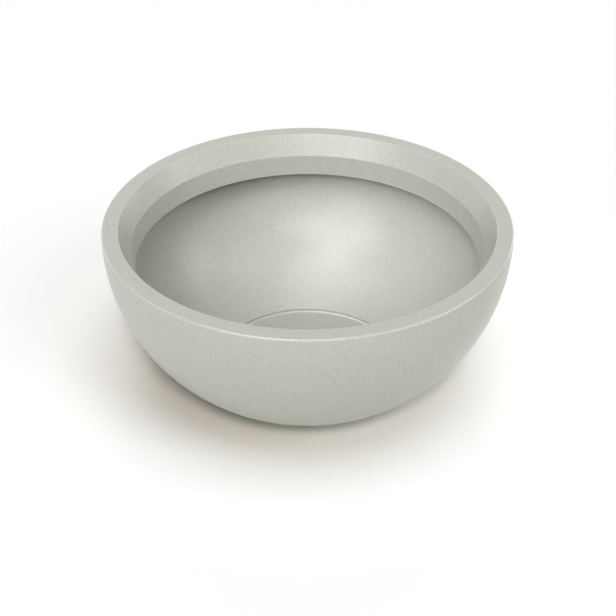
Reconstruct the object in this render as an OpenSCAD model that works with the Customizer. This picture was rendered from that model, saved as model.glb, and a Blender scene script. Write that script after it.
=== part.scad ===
// Bowl planter in moulded plastic: a round shell with a sunken disc for a floor, a rim
// collar that turns inward to a throat and a lip, and a stopper in the drain hole.
// Z points up and the origin is on the ground, at the centre of the foot.
// Every profile is drawn as [radius, height] and turned about the Z axis.

/* [Bowl] */
// Diameter over the rim
rim_d = 400; // [360:1:440]
// Height from the ground to the top of the rim
overall_h = 179; // [165:1:195]
// Radius of the arc that the wall follows from the rim down to the foot
belly_r = 186; // [170:1:230]
// Thickness of the wall
wall_t = 3; // [2.6:0.1:4]

/* [Foot and floor] */
// Diameter of the foot
foot_d = 197; // [180:1:220]
// Height above the ground at which the curved wall runs into the foot
heel_h = 6.2; // [5.6:0.1:8]
// Fillet in the heel, between the wall and the foot
heel_fillet_r = 1.5; // [0.8:0.1:2]
// Rounding of the foot's lower edge
foot_edge_r = 0.8; // [0.4:0.1:1.2]
// Height of the pads that the bowl stands on
pad_h = 1.5; // [1.2:0.1:2]
// Radial width of a pad
pad_w = 8; // [5:0.5:12]
// Number of pads around the foot, with a gap beside each that lets water out
pad_count = 6; // [3:1:10]
// Width of the gap between two pads
pad_gap = 14; // [8:1:20]
// Outer diameter of the inner circle of pads
inner_pad_d = 112; // [80:1:130]
// Thickness of the floor
floor_t = 3; // [2.6:0.1:3.6]
// Width of the ring between the foot's edge and the flat disc that is sunk into the floor
disc_margin = 3; // [2.6:0.1:9]
// Fillet between that disc and the step around it
disc_fillet_r = 1.8; // [1:0.1:2.1]
// Rounding of that step's upper edge
disc_edge_r = 1.2; // [0.4:0.1:1.4]

/* [Rim collar] */
// Width of the flat top of the rim
rim_w = 16; // [13:0.5:19]
// Thickness of the top of the rim
rim_t = 3; // [2.6:0.1:4]
// Rounding of the outer edge of the rim
rim_edge_r = 2; // [1:0.1:2.4]
// Rounding of the inner edge of the rim
throat_edge_r = 0.9; // [0.4:0.1:1.2]
// Height of the sloping throat below the top of the rim
throat_h = 21; // [19:0.5:26]
// How far the throat closes in over its height
throat_in = 11; // [6:0.5:14]
// Height of the steep lip below the throat
lip_h = 21.5; // [14:0.5:28]
// How far the lip closes in over its height
lip_in = 3; // [1:0.5:5]
// Thickness of the throat and of the lip
lip_t = 3; // [2.4:0.1:3.6]
// Rounding of the lower edges of the lip
lip_edge_r = 0.7; // [0.4:0.1:1.1]

/* [Collar fixing] */
// Depth of the skirt that guides the collar into the shell
skirt_h = 14; // [12:0.5:16]
// Thickness of the skirt
skirt_t = 2; // [1.6:0.1:2.6]
// Clearance of the skirt in the shell, and of the catches in their groove
skirt_clear = 0.3; // [0.2:0.05:0.5]
// Number of catches on the skirt
catch_count = 12; // [6:1:18]
// Angle that one catch covers
catch_angle = 12; // [6:1:14]
// How far a catch stands out of the skirt
catch_out = 1.1; // [0.8:0.1:1.3]
// Height of a catch
catch_h = 3.5; // [3:0.1:4.5]
// Depth of the catches' upper faces below the seat of the collar
catch_depth = 8; // [6:0.5:9]
// Number of ribs between the skirt and the throat
rib_count = 24; // [12:1:36]
// Thickness of a rib
rib_t = 2; // [1.4:0.1:2.6]
// Height of a rib
rib_h = 12; // [8:0.5:14]

/* [Drain] */
// Diameter of the drain hole
drain_d = 20; // [14:0.5:24]
// Diameter of the sunken seat around the drain hole
seat_d = 34; // [31:0.5:44]
// Depth of that seat
seat_depth = 1; // [0.6:0.1:1.2]
// Diameter of the boss under the floor, around the drain hole
boss_d = 40; // [36:0.5:50]
// Height of that boss
boss_h = 1; // [0.6:0.1:1.1]
// Chamfer at the top of the drain hole
drain_chamfer = 0.4; // [0.2:0.1:0.8]
// Clearance of the stopper in the drain hole, all round
plug_clear = 0.05; // [0.02:0.01:0.1]
// Diameter of the stopper's flange
flange_d = 30; // [27:0.5:30]
// Thickness of the stopper's flange
flange_t = 2.2; // [1.8:0.1:3]
// Rounding of the flange's upper edge
flange_edge_r = 1; // [0.4:0.1:1.4]
// Chamfer at the stopper's lower end
plug_chamfer = 0.6; // [0.3:0.1:0.9]
// Width of the stopper's grip
grip_w = 17; // [13:0.5:20]
// Thickness of the grip
grip_t = 3.6; // [3:0.1:5]
// Height of the grip above the flange
grip_h = 11; // [9:0.5:14]
// Corner radius of the grip
grip_r = 3.5; // [2:0.1:4]
// Diameter of the finger dimple in each side of the grip
dimple_d = 8; // [5:0.5:8]
// Depth of a finger dimple
dimple_depth = 0.6; // [0.3:0.1:0.8]

/* [Hidden] */

// Fineness of the rounds
$fn = 180;
// How far a cutting body runs past the face that it cuts
over = 1;
// Colour of the shell and the collar
plastic = [0.75, 0.755, 0.715];
// Colour of the stopper
stopper = [0.60, 0.605, 0.57];

// Radii and levels of the shell
rim_r = rim_d / 2;
foot_r = foot_d / 2;
disc_r = foot_r - disc_margin;
floor_z = pad_h + floor_t;
seat_z = overall_h - rim_t;

// The wall's arc runs through the top edge of the rim and the heel of the foot. Its
// centre lies on the perpendicular through the middle of the chord between the two.
chord = [rim_r - foot_r, overall_h - heel_h];
chord_middle = [rim_r + foot_r, overall_h + heel_h] / 2;
chord_side = [-chord[1], chord[0]] / norm(chord);
belly_c = chord_middle + sqrt(pow(belly_r, 2) - pow(norm(chord) / 2, 2)) * chord_side;
belly_in_r = belly_r - wall_t;
widest_r = belly_c[0] + belly_r;

// Radius of the shell's inner face at a height
function inner_r(z) = belly_c[0] + sqrt(pow(belly_in_r, 2) - pow(z - belly_c[1], 2));
// Height of the shell's inner face at a radius
function inner_z(r) = belly_c[1] - sqrt(pow(belly_in_r, 2) - pow(r - belly_c[0], 2));

// The step around the sunken disc. Where it is low, its roundings shrink with it.
step_h = inner_z(disc_r) - floor_z;
fillet_share = 0.6;
edge_share = 1 - fillet_share;
step_fillet_r = min(disc_fillet_r, fillet_share * step_h);
step_edge_r = min(disc_edge_r, edge_share * step_h);

// Radii and levels of the collar
throat_top_r = rim_r - rim_w;
throat_low_r = throat_top_r - throat_in;
throat_z = overall_h - throat_h;
lip_low_r = throat_low_r - lip_in;
lip_z = throat_z - lip_h;
throat_slope = atan(throat_in / throat_h);
lip_slope = atan(lip_in / lip_h);
throat_wall = lip_t / cos(throat_slope);
lip_wall = lip_t / cos(lip_slope);
// Drop from the inner bend between the throat and the lip to the outer one
bend_drop = (throat_wall - lip_wall) / (throat_in / throat_h - lip_in / lip_h);
skirt_z = seat_z - skirt_h;
skirt_r = min(inner_r(seat_z), inner_r(skirt_z)) - skirt_clear;
catch_z = seat_z - catch_depth;
catch_r = skirt_r + catch_out;
rib_z = seat_z - rib_h;

// Radii and levels of the drain
drain_r = drain_d / 2;
plug_r = drain_r - plug_clear;
drain_seat_z = floor_z - seat_depth;
boss_z = pad_h - boss_h;
flange_z = drain_seat_z + flange_t;

// Radius of the collar's inner face at a height between the throat's ends
function throat_face_r(z) = throat_low_r + (z - throat_z) * throat_in / throat_h;
// Direction at an angle
function way(angle) = [cos(angle), sin(angle)];

// What lies between a rounding and its corner, to be cut off an edge or filled into a
// heel: c is the rounding's centre, r its radius, and from and to are the directions in
// which it meets the two faces beside the corner
module rounding(c, r, from, to) {
    difference() {
        polygon([
            c,
            c + 2 * r * way(from),
            c + 3 * r * way((from + to) / 2),
            c + 2 * r * way(to),
        ]);
        translate(c) circle(r = r);
    }
}

// The same for a corner at a point p between two straight faces that look from and to
module corner_cut(p, r, from, to) {
    c = p - r / cos((to - from) / 2) * way((from + to) / 2);
    rounding(c, r, from, to);
}

// The planter's outside above the pads, from the axis to the wall
module outside_2d() {
    edge_rise = asin((overall_h - rim_edge_r - belly_c[1]) / (belly_r - rim_edge_r));
    edge_c = belly_c + (belly_r - rim_edge_r) * way(edge_rise);
    heel_side = acos((foot_r + heel_fillet_r - belly_c[0]) / (belly_r + heel_fillet_r));
    heel_c = belly_c + (belly_r + heel_fillet_r) * way(-heel_side);
    difference() {
        union() {
            intersection() {
                translate(belly_c) circle(r = belly_r);
                translate([0, heel_h]) square([widest_r + over, overall_h - heel_h]);
            }
            translate([0, pad_h]) square([foot_r, heel_h - pad_h]);
            rounding(heel_c, heel_fillet_r, 180 - heel_side, 180);
        }
        rounding(edge_c, rim_edge_r, edge_rise, 90);
    }
}

// The hollow of the shell, down to the sunken disc
module hollow_2d() {
    edge_side = acos((disc_r + step_edge_r - belly_c[0]) / (belly_in_r + step_edge_r));
    edge_c = belly_c + (belly_in_r + step_edge_r) * way(-edge_side);
    difference() {
        union() {
            intersection() {
                translate(belly_c) circle(r = belly_in_r);
                translate([0, floor_z]) square([widest_r, overall_h]);
            }
            translate([0, floor_z]) square([disc_r, step_h]);
            rounding(edge_c, step_edge_r, 180 - edge_side, 180);
        }
        corner_cut([disc_r, floor_z], step_fillet_r, -90, 0);
    }
}

// The groove in the shell's inner face that the collar's catches snap into
module catch_groove_2d() {
    translate([skirt_r, catch_z - catch_h - skirt_clear])
        square([catch_out + skirt_clear, catch_h + skirt_clear]);
}

// A ring of pads under the floor, before its gaps are cut
module pad_ring_2d(outer_r) {
    translate([outer_r - pad_w, 0]) square([pad_w, pad_h]);
}

module shell_profile_2d() {
    difference() {
        union() {
            intersection() {
                outside_2d();
                translate([0, pad_h]) square([widest_r + over, seat_z - pad_h]);
            }
            pad_ring_2d(foot_r);
            pad_ring_2d(inner_pad_d / 2);
            translate([0, boss_z]) square([boss_d / 2, boss_h]);
        }
        hollow_2d();
        catch_groove_2d();
        corner_cut([foot_r, 0], foot_edge_r, -90, 0);
    }
}

// The gaps that let water out between the pads
module pad_gaps() {
    gap_start = inner_pad_d / 2 - pad_w - over;
    for (i = [0 : pad_count - 1])
        rotate((i + 0.5) * 360 / pad_count)
            translate([gap_start, -pad_gap / 2, -over])
                cube([foot_r + over - gap_start, pad_gap, pad_h + over]);
}

module bowl_shell() {
    color(plastic)
        difference() {
            rotate_extrude() shell_profile_2d();
            pad_gaps();
            translate([0, 0, drain_seat_z]) cylinder(h = seat_depth + over, r = seat_d / 2);
            translate([0, 0, -over]) cylinder(h = floor_z + over, r = drain_r);
            translate([0, 0, drain_seat_z - drain_chamfer])
                cylinder(h = drain_chamfer, r1 = drain_r, r2 = drain_r + drain_chamfer);
        }
}

// The flat top of the rim, which carries the wall's arc on to its rounded edge
module rim_top_2d() {
    intersection() {
        outside_2d();
        translate([throat_top_r, seat_z]) square([rim_w + widest_r - rim_r + over, rim_t]);
    }
}

// The throat and the lip, one wall with a bend in it
module throat_and_lip_2d() {
    polygon([
        [throat_top_r, overall_h],
        [throat_low_r, throat_z],
        [lip_low_r, lip_z],
        [lip_low_r + lip_wall, lip_z],
        [throat_face_r(throat_z - bend_drop) + throat_wall, throat_z - bend_drop],
        [throat_top_r + throat_wall, overall_h],
    ]);
}

module collar_profile_2d() {
    difference() {
        union() {
            rim_top_2d();
            throat_and_lip_2d();
            translate([skirt_r - skirt_t, skirt_z]) square([skirt_t, skirt_h + rim_t / 2]);
        }
        corner_cut([throat_top_r, overall_h], throat_edge_r, 90, 180 - throat_slope);
        corner_cut([lip_low_r, lip_z], lip_edge_r, 180 - lip_slope, 270);
        corner_cut([lip_low_r + lip_wall, lip_z], lip_edge_r, -90, -lip_slope);
    }
}

// A catch: flat on top, where it holds, and sloped below, where it rides in
module catch() {
    root_r = skirt_r - skirt_t / 2;
    rotate(-catch_angle / 2)
        rotate_extrude(angle = catch_angle)
            polygon([
                [root_r, catch_z - catch_h],
                [catch_r, catch_z - catch_h / 2],
                [catch_r, catch_z],
                [root_r, catch_z],
            ]);
}

// A rib that ties the skirt to the throat and to the top of the rim
module rib() {
    top_z = seat_z + rim_t / 2;
    end_r = skirt_r - skirt_t / 2;
    rotate([90, 0, 0])
        linear_extrude(height = rib_t, center = true)
            polygon([
                [throat_face_r(rib_z) + throat_wall / 2, rib_z],
                [end_r, rib_z],
                [end_r, top_z],
                [throat_face_r(top_z) + throat_wall / 2, top_z],
            ]);
}

module rim_collar() {
    color(plastic)
        union() {
            rotate_extrude() collar_profile_2d();
            for (i = [0 : catch_count - 1]) rotate(i * 360 / catch_count) catch();
            for (i = [0 : rib_count - 1]) rotate((i + 0.5) * 360 / rib_count) rib();
        }
}

// The stopper's flange and the round body under it, which fills the drain hole
module plug_profile_2d() {
    difference() {
        union() {
            translate([0, boss_z]) square([plug_r, flange_z - boss_z]);
            translate([0, drain_seat_z]) square([flange_d / 2, flange_t]);
        }
        corner_cut([flange_d / 2, flange_z], flange_edge_r, 0, 90);
        translate([plug_r, boss_z]) rotate(45) square(plug_chamfer * sqrt(2), center = true);
    }
}

// Outline of the upright grip: a bar with its two upper corners rounded
module grip_2d() {
    difference() {
        translate([-grip_w / 2, -flange_edge_r]) square([grip_w, grip_h + flange_edge_r]);
        corner_cut([grip_w / 2, grip_h], grip_r, 0, 90);
        corner_cut([-grip_w / 2, grip_h], grip_r, 90, 180);
    }
}

module drain_plug() {
    color(stopper)
        difference() {
            union() {
                rotate_extrude() plug_profile_2d();
                translate([0, 0, flange_z])
                    rotate([90, 0, 0])
                        linear_extrude(height = grip_t, center = true) grip_2d();
            }
            for (side = [0, 180])
                rotate(side)
                    translate([0, grip_t / 2 - dimple_depth, flange_z + grip_h / 2])
                        rotate([-90, 0, 0]) cylinder(h = dimple_depth + over, r = dimple_d / 2);
        }
}

bowl_shell();
rim_collar();
drain_plug();
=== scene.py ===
"""Looks of the bowl planter: its speckled satin plastic, a pale floor, soft studio light and
the camera. Lengths are in metres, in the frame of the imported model, with Z up and the camera
on the -Y side. Colours are linear."""

import math

import bpy
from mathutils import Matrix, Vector


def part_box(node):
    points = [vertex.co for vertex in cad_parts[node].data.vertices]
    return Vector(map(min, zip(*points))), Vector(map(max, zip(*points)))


# The camera stands in front of the planter and looks down into it. The lens and the sensor
# are in millimetres.
CAMERA_PLACE = (0.0005, -1.0935, 0.8272)
CAMERA_PITCH = math.radians(34.538)
CAMERA_LENS = 75.91
SENSOR_WIDTH = 36.0
CLIP_START, CLIP_END = 0.05, 50

# The lamps' colours
PLAIN = (1.0, 1.0, 1.0)
ROSE = (0.97, 0.85, 1.0)
WARM = (1.0, 0.90, 0.76)
COOL = (0.86, 0.92, 1.0)

# Each lamp is a wide, far one: name, azimuth from the camera's side towards the right,
# elevation and how wide it looks (degrees), its strength and its colour. Some light the
# planter alone and some the floor alone.
PLANTER_LAMPS = [
    ("key_low", -28, 24, 25, 0.50, PLAIN),
    ("key_middle", -25, 42, 17, 0.43, ROSE),
    ("key_high", -25, 55, 18, 0.50, ROSE),
    ("front_middle", -6, 35, 18, 0.54, PLAIN),
    ("front_right", 15, 35, 12, 0.17, PLAIN),
    ("front_high", 0, 65, 25, 0.52, PLAIN),
    ("overhead", 0, 90, 25, 0.29, PLAIN),
    ("left_middle", -45, 35, 22, 0.50, PLAIN),
    ("left_high", -60, 65, 25, 0.36, PLAIN),
    ("right_high", 60, 45, 25, 0.22, PLAIN),
    ("right_low", 90, 25, 25, 0.46, PLAIN),
    ("right_grazing", 70, 5, 12, 0.42, PLAIN),
    ("back_left", -135, 8, 25, 0.28, PLAIN),
    ("back_right", 135, 8, 25, 0.52, PLAIN),
]
FLOOR_LAMPS = [
    ("floor_overhead", 22, 80, 42, 1.68, COOL),
    ("floor_front", 2, 45, 12, 1.42, WARM),
    ("floor_right", 48, 42, 26, 0.63, COOL),
    ("floor_back", 180, 45, 25, 0.30, WARM),
]
# The lamps are suns, so only their direction matters and not where they stand
LAMP_DISTANCE = 3
WORLD_LIGHT = 0.04
WHITE = (1, 1, 1, 1)

# The floor, with the colour that it sends to the planter. The camera sees it white.
FLOOR_HALF = 12.0
FLOOR_COLOUR = (0.68, 0.68, 0.66)

PLANTER_COLOUR = (0.478, 0.497, 0.428)
STOPPER_COLOUR = (0.31, 0.315, 0.28)
PLASTIC_IOR = 1.5

# The patterns in the plastic. Scale is how many cells or waves there are in a metre, share
# is the part of the cells that holds a fleck, and size is a fleck's radius against its cell.
SAND = {"scale": 420, "detail": 2.0, "roughness": 0.6}
CLOUDS = {"scale": 16, "detail": 3.0}
HANDLING = {"scale": 28, "detail": 4.0, "roughness": 0.6}
SCRAPES = {"scale": 240, "detail": 4.0}
PATCHES = {"scale": 90, "detail": 3.0}
DARK_FLECKS = {"scale": 370, "share": 0.16, "size": 0.55}
LIGHT_FLECKS = {"scale": 330, "share": 0.14, "size": 0.5}
# Where a noise starts to count and where it counts in full, and how much of an edge's painted
# highlight is left between its patches
SCRAPE_START, SCRAPE_END = 0.5, 0.62
PATCH_START, PATCH_END, PATCH_LEAST = 0.25, 0.65, 0.4

# How much each pattern lightens the colour, as a share of it. A minus darkens it.
SAND_SHADE = 0.28
CLOUD_SHADE = 0.04
DARK_FLECK_SHADE = -0.08
LIGHT_FLECK_SHADE = 0.08
# The edges' paleness is a painted highlight along the round edges
PAINTED_EDGE_HIGHLIGHT_SHADE = 0.16
SCUFF_SHADE = -0.10

# How much each pattern adds to the roughness
SAND_ROUGHNESS = 0.10
HANDLING_ROUGHNESS = 0.08
SCUFF_ROUGHNESS = 0.15
EDGE_ROUGHNESS = -0.16

# The grains' relief
RELIEF_STRENGTH, RELIEF_DEPTH = 0.25, 0.00012
# The height where the scuffs begin, and the height from which down they are full
SCUFF_TOP, SCUFF_FULL = 0.016, 0.002
# A face is upright while its normal's Z is this near to 0
UPRIGHT = 0.1
# How far the strip along an edge reaches that is glossier, and paler with a painted highlight
EDGE_REACH = 0.0022

# The rim's section, from its outer edge inward and down, and the foot
RIM_WIDTH = 0.016
THROAT_IN, THROAT_DEPTH = 0.011, 0.021
LIP_IN, LIP_HEIGHT = 0.003, 0.0215
FOOT_RADIUS, HEEL_HEIGHT = 0.0985, 0.0062
# The corner around the disc that is sunk into the floor, where a pale line is painted as a
# highlight
CORNER_RADIUS, CORNER_HEIGHT = 0.0945, 0.0053
# How far the stopper's grip stands above its flange
STOPPER_GRIP = 0.011


def add(tree, kind, inputs=None, **settings):
    """A new node with these settings. Each input is a plain value or another node's output."""
    made = tree.nodes.new(kind)
    for name, value in settings.items():
        setattr(made, name, value)
    for name, value in (inputs or {}).items():
        socket = made.inputs[name]
        if isinstance(value, bpy.types.NodeSocket):
            tree.links.new(value, socket)
        else:
            socket.default_value = value
    return made


def maths(tree, operation, *values):
    """A sum, product or other operation on values and outputs."""
    inputs = dict(enumerate(values))
    return add(tree, "ShaderNodeMath", inputs, operation=operation).outputs["Value"]


def plus(tree, value, pattern, amount):
    """The value plus this amount of a pattern."""
    return maths(tree, "MULTIPLY_ADD", pattern, amount, value)


def around(tree, value, pattern, amount):
    """As plus, for a pattern from 0 to 1 that leaves the value alone where it is 0.5."""
    return plus(tree, maths(tree, "SUBTRACT", value, amount / 2), pattern, amount)


def rise(tree, value, start, end, at_start=0.0, at_end=1.0):
    """Carries a value smoothly from at_start to at_end while it goes from start to end."""
    made = add(
        tree,
        "ShaderNodeMapRange",
        {
            "Value": value,
            "From Min": start,
            "From Max": end,
            "To Min": at_start,
            "To Max": at_end,
        },
        interpolation_type="SMOOTHSTEP",
    )
    return made.outputs["Result"]


def noise(tree, where, scale, detail, roughness=0.5):
    """A cloudy pattern from 0 to 1."""
    made = add(
        tree,
        "ShaderNodeTexNoise",
        {"Vector": where, "Scale": scale, "Detail": detail, "Roughness": roughness},
    )
    return made.outputs["Fac"]


def flecks(tree, where, scale, share, size):
    """Small round grains: one in each cell of a random pattern, in a share of the cells."""
    cells = add(
        tree, "ShaderNodeTexVoronoi", {"Vector": where, "Scale": scale}, feature="F1"
    )
    chance = add(tree, "ShaderNodeSeparateColor", {"Color": cells.outputs["Color"]})
    chosen = maths(tree, "LESS_THAN", chance.outputs["Red"], share)
    round_grain = rise(tree, cells.outputs["Distance"], size, size / 2)
    return maths(tree, "MULTIPLY", chosen, round_grain)


def near_edges(tree, where, edges):
    """The largest amount of the round edges nearby, from a list of radius, height and amount.
    An edge's amount fades to 0 at EDGE_REACH away from it."""
    place = add(tree, "ShaderNodeSeparateXYZ", {"Vector": where}).outputs
    flat = add(tree, "ShaderNodeCombineXYZ", {"X": place["X"], "Y": place["Y"]}).outputs["Vector"]
    radius = add(tree, "ShaderNodeVectorMath", {0: flat}, operation="LENGTH").outputs["Value"]
    section = add(tree, "ShaderNodeCombineXYZ", {"X": radius, "Z": place["Z"]}).outputs["Vector"]
    near = 0.0
    for edge_radius, edge_height, amount in edges:
        away = add(
            tree,
            "ShaderNodeVectorMath",
            {0: section, 1: (edge_radius, 0, edge_height)},
            operation="DISTANCE",
        ).outputs["Value"]
        near = maths(tree, "MAXIMUM", rise(tree, away, EDGE_REACH, 0.0, at_end=amount), near)
    return near


def scuffs_near_ground(tree, where):
    """1 in the scrapes low on the outside and under the planter, and 0 elsewhere."""
    height = add(tree, "ShaderNodeSeparateXYZ", {"Vector": where}).outputs["Z"]
    normal = add(tree, "ShaderNodeNewGeometry").outputs["Normal"]
    facing_up = add(tree, "ShaderNodeSeparateXYZ", {"Vector": normal}).outputs["Z"]
    low_down = rise(tree, height, SCUFF_TOP, SCUFF_FULL)
    outside = rise(tree, facing_up, UPRIGHT, -UPRIGHT)
    scraped = rise(tree, noise(tree, where, **SCRAPES), SCRAPE_START, SCRAPE_END)
    return maths(tree, "MULTIPLY", maths(tree, "MULTIPLY", low_down, outside), scraped)


def speckled_plastic(name, colour, roughness, grain, edges):
    """Moulded plastic with fine sand-like grains in it, satin, scuffed near the ground, and glossy
    along its edges, with a painted highlight that makes the edges paler: the edges hold the radius,
    height, painted highlight and gloss of each."""
    material = bpy.data.materials.new(name)
    material.use_nodes = True
    tree = material.node_tree
    satin = tree.nodes["Principled BSDF"]
    satin.inputs["IOR"].default_value = PLASTIC_IOR
    where = add(tree, "ShaderNodeTexCoord").outputs["Object"]

    sand = noise(tree, where, **SAND)
    scuffs = scuffs_near_ground(tree, where)
    painted_edge_highlights = near_edges(tree, where, [(r, z, painted_highlight) for r, z, painted_highlight, _ in edges])
    glossy_edges = near_edges(tree, where, [(r, z, gloss) for r, z, _, gloss in edges if gloss])
    patches = noise(tree, where, **PATCHES)
    patchy = rise(tree, patches, PATCH_START, PATCH_END, at_start=PATCH_LEAST)

    shade = around(tree, 1.0, sand, SAND_SHADE * grain)
    shade = around(tree, shade, noise(tree, where, **CLOUDS), CLOUD_SHADE)
    shade = plus(tree, shade, flecks(tree, where, **DARK_FLECKS), DARK_FLECK_SHADE * grain)
    shade = plus(tree, shade, flecks(tree, where, **LIGHT_FLECKS), LIGHT_FLECK_SHADE * grain)
    # Painted highlight: the colour is made paler along the round edges, broken by patches
    shade = plus(tree, shade, maths(tree, "MULTIPLY", painted_edge_highlights, patchy), PAINTED_EDGE_HIGHLIGHT_SHADE)
    shade = plus(tree, shade, scuffs, SCUFF_SHADE)
    tinted = add(
        tree, "ShaderNodeVectorMath", {"Vector": colour, "Scale": shade}, operation="SCALE"
    )
    tree.links.new(tinted.outputs["Vector"], satin.inputs["Base Color"])

    rough = around(tree, roughness, sand, SAND_ROUGHNESS)
    rough = around(tree, rough, noise(tree, where, **HANDLING), HANDLING_ROUGHNESS)
    rough = plus(tree, rough, scuffs, SCUFF_ROUGHNESS)
    rough = plus(tree, rough, glossy_edges, EDGE_ROUGHNESS)
    tree.links.new(rough, satin.inputs["Roughness"])

    relief = add(
        tree,
        "ShaderNodeBump",
        {"Height": sand, "Strength": RELIEF_STRENGTH, "Distance": RELIEF_DEPTH},
    )
    tree.links.new(relief.outputs["Normal"], satin.inputs["Normal"])
    return material


def planter_edges():
    """Radius, height, painted highlight (paleness) and gloss of each round edge: the rim's two, the
    bend between the throat and the lip, the lip's end, the corner around the disc, and the foot."""
    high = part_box("rim_collar")[1]
    rim_radius, rim_top = high[0], high[2]
    inner = (rim_radius - RIM_WIDTH, rim_top)
    bend = (inner[0] - THROAT_IN, inner[1] - THROAT_DEPTH)
    lip = (bend[0] - LIP_IN, bend[1] - LIP_HEIGHT)
    return [
        (rim_radius, rim_top, 0.25, 1.0),
        (*inner, 0.3, 0.0),
        (*bend, 0.2, 0.0),
        (*lip, 0.8, 0.3),
        (CORNER_RADIUS, CORNER_HEIGHT, 1.8, 0.6),
        (FOOT_RADIUS, HEEL_HEIGHT, 1.0, 0.0),
    ]


def stopper_edges():
    """As planter_edges, for the rim of the stopper's flange."""
    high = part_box("drain_plug")[1]
    return [(high[0], high[2] - STOPPER_GRIP, 1.0, 0.6)]


def dress(frame):
    """Puts the finished plastics on the CAD nodes."""
    planter = speckled_plastic(
        "planter_plastic_finish", PLANTER_COLOUR, roughness=0.30, grain=1.0, edges=planter_edges()
    )
    stopper = speckled_plastic(
        "stopper_plastic_finish", STOPPER_COLOUR, roughness=0.42, grain=0.6, edges=stopper_edges()
    )
    for node, material in (
        ("bowl_shell", planter),
        ("rim_collar", planter),
        ("drain_plug", stopper),
    ):
        frame["nodes"][node].material_slots[0].material = material


def seen_directly(tree):
    """1 for what the camera sees, also by reflection or through glass, and otherwise 0."""
    path = add(tree, "ShaderNodeLightPath").outputs
    seen = maths(tree, "MAXIMUM", path["Is Camera Ray"], path["Is Glossy Ray"])
    return maths(tree, "MAXIMUM", seen, path["Is Transmission Ray"])


def floor_material():
    """A pale floor that the camera sees white, except in the planter's shadow."""
    material = bpy.data.materials.new("floor")
    material.use_nodes = True
    tree = material.node_tree
    tree.nodes.clear()
    plain = add(tree, "ShaderNodeBsdfDiffuse", {"Color": (*FLOOR_COLOUR, 1)})
    shown = add(tree, "ShaderNodeBsdfDiffuse", {"Color": WHITE})
    choice = add(tree, "ShaderNodeMixShader", {"Fac": seen_directly(tree)})
    tree.links.new(plain.outputs["BSDF"], choice.inputs[1])
    tree.links.new(shown.outputs["BSDF"], choice.inputs[2])
    out = add(tree, "ShaderNodeOutputMaterial")
    tree.links.new(choice.outputs["Shader"], out.inputs["Surface"])
    return material


def make_floor():
    """A plain sheet under the planter, far wider than the view."""
    mesh = bpy.data.meshes.new("floor")
    corners = [(x * FLOOR_HALF, y * FLOOR_HALF, 0) for x, y in ((-1, -1), (1, -1), (1, 1), (-1, 1))]
    mesh.from_pydata(corners, [], [(0, 1, 2, 3)])
    mesh.materials.append(floor_material())
    floor = bpy.data.objects.new("floor", mesh)
    bpy.context.scene.collection.objects.link(floor)
    return floor


def make_lamps(lamps, lit):
    """Wide, far lamps that shine on these objects."""
    receivers = bpy.data.collections.new(lamps[0][0] + "_receivers")
    for obj in lit:
        receivers.objects.link(obj)
    for name, azimuth, elevation, width, strength, colour in lamps:
        data = bpy.data.lights.new(name, "SUN")
        data.energy = strength
        data.color = colour
        data.angle = math.radians(width)
        a, e = math.radians(azimuth), math.radians(elevation)
        towards = Vector((math.sin(a) * math.cos(e), -math.cos(a) * math.cos(e), math.sin(e)))
        lamp = bpy.data.objects.new(name, data)
        lamp.location = towards * LAMP_DISTANCE
        lamp.rotation_euler = towards.to_track_quat("Z", "Y").to_euler()
        lamp.light_linking.receiver_collection = receivers
        bpy.context.scene.collection.objects.link(lamp)


def make_world():
    """Weak even light from all round, and a white background."""
    world = bpy.data.worlds.new("studio")
    bpy.context.scene.world = world
    world.use_nodes = True
    tree = world.node_tree
    tree.nodes.clear()
    soft = add(tree, "ShaderNodeBackground", {"Color": WHITE, "Strength": WORLD_LIGHT})
    white = add(tree, "ShaderNodeBackground", {"Color": WHITE, "Strength": 1.0})
    choice = add(tree, "ShaderNodeMixShader", {"Fac": seen_directly(tree)})
    tree.links.new(soft.outputs["Background"], choice.inputs[1])
    tree.links.new(white.outputs["Background"], choice.inputs[2])
    out = add(tree, "ShaderNodeOutputWorld")
    tree.links.new(choice.outputs["Shader"], out.inputs["Surface"])


def make_camera():
    """The photograph's view."""
    data = bpy.data.cameras.new("camera")
    data.lens = CAMERA_LENS
    data.sensor_width = SENSOR_WIDTH
    data.clip_start = CLIP_START
    data.clip_end = CLIP_END
    camera = bpy.data.objects.new("camera", data)
    camera.location = CAMERA_PLACE
    camera.rotation_euler = (math.pi / 2 - CAMERA_PITCH, 0, 0)
    bpy.context.scene.collection.objects.link(camera)
    bpy.context.scene.camera = camera


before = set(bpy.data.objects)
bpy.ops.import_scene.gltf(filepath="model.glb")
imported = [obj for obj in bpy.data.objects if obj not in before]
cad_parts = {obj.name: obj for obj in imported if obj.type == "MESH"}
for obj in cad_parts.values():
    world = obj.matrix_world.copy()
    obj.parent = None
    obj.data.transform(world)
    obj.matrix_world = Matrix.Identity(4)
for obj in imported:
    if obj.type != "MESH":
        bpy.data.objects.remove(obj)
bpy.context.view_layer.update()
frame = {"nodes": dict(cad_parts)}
make_camera()
dress(frame)
floor = make_floor()
make_lamps(PLANTER_LAMPS, frame["nodes"].values())
make_lamps(FLOOR_LAMPS, [floor])
make_world()
bpy.context.scene.view_settings.view_transform = "Standard"
